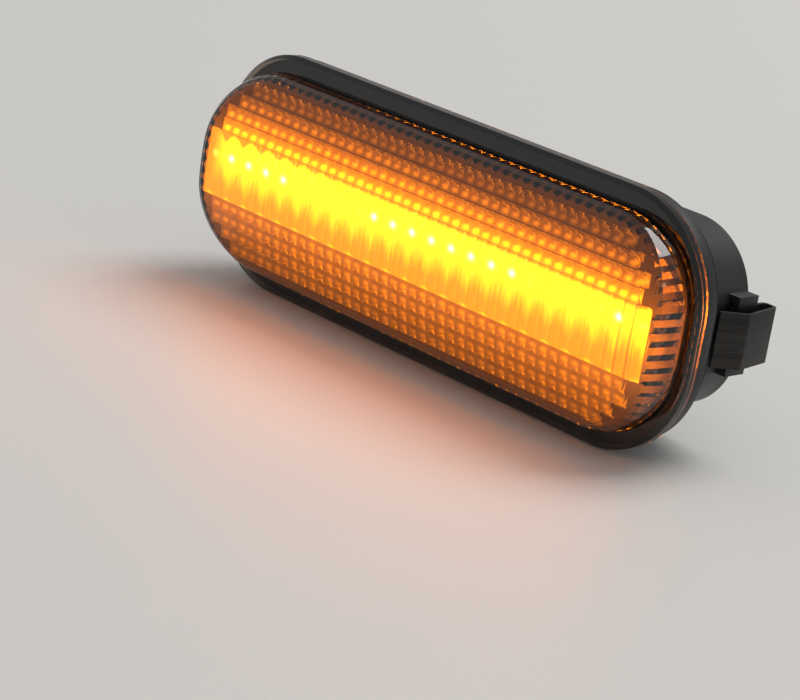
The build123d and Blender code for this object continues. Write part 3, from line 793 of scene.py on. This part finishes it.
from_centre = add_node(flutes, "Math", {0: (axes, "X")}, operation="ABSOLUTE")
heart_ends = add_node(flutes, "MapRange", {
    "Value": (from_centre, "Value"),
    "From Min": HEART_ENDS[0],
    "From Max": HEART_ENDS[1],
})
heart_shown = add_node(flutes, "Math", {
    0: (beat, "Result"),
    1: (heart_ends, "Result"),
}, operation="MULTIPLY")
heart = add_node(flutes, "Math", {
    0: (heart_spot, "Value"),
    1: (heart_shown, "Value"),
}, operation="MULTIPLY")

# The line of small painted dots of light along the foot of the band
above_foot = add_node(flutes, "Math", {0: (axes, "Z"), 1: FOOT_LINE}, operation="SUBTRACT")
foot_steps = add_node(flutes, "Math", {
    0: (above_foot, "Value"),
    1: FOOT_LINE_RADIUS,
}, operation="DIVIDE")
foot_square = add_node(flutes, "Math", {
    0: (foot_steps, "Value"),
    1: (foot_steps, "Value"),
}, operation="MULTIPLY")
foot_line = add_node(flutes, "Math", {0: SPOT_EDGE, 1: (foot_square, "Value")}, operation="POWER")
foot_width = add_node(flutes, "Math", {0: (on_column, "Value"), 1: FOOT_SHARPNESS}, operation="POWER")
foot_dot = add_node(flutes, "Math", {
    0: (foot_line, "Value"),
    1: (foot_width, "Value"),
}, operation="MULTIPLY")
dotted = add_node(flutes, "Math", {
    0: (foot_dot, "Value"),
    1: FLUTE_LEVEL,
    2: (flood, "Value"),
}, operation="MULTIPLY_ADD")
full = add_node(flutes, "Math", {
    0: (heart, "Value"),
    1: HEART_LEVEL,
    2: (dotted, "Value"),
}, operation="MULTIPLY_ADD")

# The valleys between the flutes: fine lines of painted shade, deepest at the right end
flute_turn = add_node(flutes, "Math", {0: (axes, "X"), 1: optic_turn}, operation="MULTIPLY")
flute_wave = add_node(flutes, "Math", {0: (flute_turn, "Value")}, operation="COSINE")
off_crest = add_node(flutes, "Math", {
    0: (flute_wave, "Value"),
    1: -HALF,
    2: HALF,
}, operation="MULTIPLY_ADD")
valley = add_node(flutes, "Math", {0: (off_crest, "Value"), 1: VALLEY_SHARPNESS}, operation="POWER")
shade = add_node(flutes, "MapRange", {
    "Value": (axes, "X"),
    "From Min": VALLEY_START,
    "From Max": VALLEY_END,
    "To Min": VALLEY_SHADE[0],
    "To Max": VALLEY_SHADE[1],
})
lost = add_node(flutes, "Math", {0: (valley, "Value"), 1: (shade, "Result")}, operation="MULTIPLY")
left = add_node(flutes, "Math", {0: 1.0, 1: (lost, "Value")}, operation="SUBTRACT")
glow = add_node(flutes, "Math", {0: (full, "Value"), 1: (left, "Value")}, operation="MULTIPLY")
tint = add_node(flutes, "MixRGB", {0: (heart, "Value"), 1: linear(AMBER), 2: linear(WHITE_HOT)})
shader = add_node(flutes, "BsdfPrincipled", {
    "Base Color": linear(DARK_OPTIC_PAINTED_SHADE),
    "Roughness": FLUTE_GLOSS,
    "IOR": POLYCARBONATE_IOR,
    "Transmission Weight": OPTIC_CLEARNESS,
    "Emission Color": (tint, "Color"),
    "Emission Strength": (glow, "Value"),
})
add_node(flutes, "OutputMaterial", {"Surface": (shader, "BSDF")})

# The shoulder's ribs and the steps between the rows: the LEDs' light that spreads in them is painted on
# as an amber glow, which dies away above and below the row of LEDs and towards the foot of the wall
RIB_LEVEL, RIB_REST, RIB_REACH = 1.35, 0.36, 5.5 * MM
RIB_FOOT, RIB_TOP = -7.0 * MM, -10.4 * MM
RIB_FOOT_SHARE = 0.1


def rib_plastic_painted_light(name, **finish):
    """The smoked plastic of an inner face, with the light it catches from the side painted on as a glow.
    """
    material = empty_material(name)
    place = add_node(material, "TexCoord")
    axes = add_node(material, "SeparateXYZ", {"Vector": (place, "Object")})
    height = add_node(material, "Math", {0: (axes, "Z"), 1: RIB_REACH}, operation="DIVIDE")
    square = add_node(material, "Math", {
        0: (height, "Value"),
        1: (height, "Value"),
    }, operation="MULTIPLY")
    fall = add_node(material, "Math", {0: SPOT_EDGE, 1: (square, "Value")}, operation="POWER")
    level = add_node(material, "Math", {
        0: (fall, "Value"),
        1: RIB_LEVEL,
        2: RIB_REST,
    }, operation="MULTIPLY_ADD")
    depth = add_node(material, "MapRange", {
        "Value": (axes, "Y"),
        "From Min": RIB_FOOT,
        "From Max": RIB_TOP,
        "To Min": RIB_FOOT_SHARE,
    })
    glow = add_node(material, "Math", {0: (level, "Value"), 1: (depth, "Result")}, operation="MULTIPLY")
    # The dark brown base, opaque on the steps and partly clear on the ribs, is painted shade of the unlit
    # inside
    shader = add_node(material, "BsdfPrincipled", {
        "Base Color": linear("#3A2A20"),
        "IOR": POLYCARBONATE_IOR,
        "Emission Color": linear(AMBER),
        "Emission Strength": (glow, "Value"),
        **finish,
    })
    add_node(material, "OutputMaterial", {"Surface": (shader, "BSDF")})
    return material


ribs = rib_plastic_painted_light("painted_glow_shoulder_ribs", **{"Roughness": 0.1, "Transmission Weight": 0.45})
steps = rib_plastic_painted_light("painted_glow_optic_steps", **{"Roughness": 0.7, "Specular IOR Level": 0.0})

dress(lens, smoked)
for slot, (material, faces) in enumerate((
    (pillows, pillow_faces),
    (flutes, flute_faces),
    (ribs, rib_faces),
    (steps, step_faces),
), start=1):
    lens.data.materials.append(material)
    for i in faces:
        lens.data.polygons[i].material_index = slot
seat(lens, "lens")

# Floor
# A plain pale surface, at the lower edge of the flange.
FLOOR_SIZE = 6.0
FLOOR_GLOSS = 0.5
bpy.ops.object.select_all(action="DESELECT")
bpy.ops.mesh.primitive_plane_add(size=FLOOR_SIZE, location=(0, 0, cad_box[0].z))
floor = bpy.context.object
floor.name = "studio_floor"
pale = empty_material("pale_floor")
shader = add_node(pale, "BsdfPrincipled", {"Base Color": linear("#DEDCD8"), "Roughness": FLOOR_GLOSS})
add_node(pale, "OutputMaterial", {"Surface": (shader, "BSDF")})
dress(floor, pale)

# Studio light
# One broad soft lamp above and behind, turned to the middle of the object, and an even grey room.
ROOM_STRENGTH = 0.4
KEY_PLACE, KEY_SIZE, KEY_POWER = (0.2, 1.0, 1.8), 1.2, 24.0
world = bpy.data.worlds.new("studio_room")
bpy.context.scene.world = world
world.use_nodes = True
world.node_tree.nodes.clear()
room = add_node(world, "Background", {"Color": [1.0, 1.0, 1.0, 1.0], "Strength": ROOM_STRENGTH})
add_node(world, "OutputWorld", {"Surface": (room, "Background")})
bpy.ops.object.light_add(type="AREA", location=KEY_PLACE)
key = bpy.context.object
key.data.size = KEY_SIZE
key.data.energy = KEY_POWER
key.rotation_euler = (Vector((0, 0, 0)) - key.location).to_track_quat("-Z", "Y").to_euler()

# Camera
# To the right of the lamp, above it, and a little rolled, with a long lens.
AZIMUTH, ELEVATION, ROLL = radians(43.9), radians(17.36), radians(9.35)
TARGET = Vector((-9.49, 0.0, -20.29)) * MM
DISTANCE = 408.5 * MM
NEAREST = 10 * MM
FOCAL_PIXELS, IMAGE_WIDTH, SENSOR = 2727.15, 800, 36.0
back = Vector((sin(AZIMUTH) * cos(ELEVATION), -cos(AZIMUTH) * cos(ELEVATION), sin(ELEVATION)))
right = Vector((cos(AZIMUTH), sin(AZIMUTH), 0))
up = back.cross(right)
turned_right = cos(ROLL) * right + sin(ROLL) * up
turned_up = -sin(ROLL) * right + cos(ROLL) * up
bpy.ops.object.camera_add(location=TARGET + back * DISTANCE)
camera = bpy.context.object
camera.rotation_euler = Matrix((turned_right, turned_up, back)).transposed().to_euler()
camera.data.sensor_width = SENSOR
camera.data.lens = FOCAL_PIXELS * SENSOR / IMAGE_WIDTH
camera.data.clip_start = NEAREST
bpy.context.scene.camera = camera
bpy.context.scene.view_settings.view_transform = "Standard"
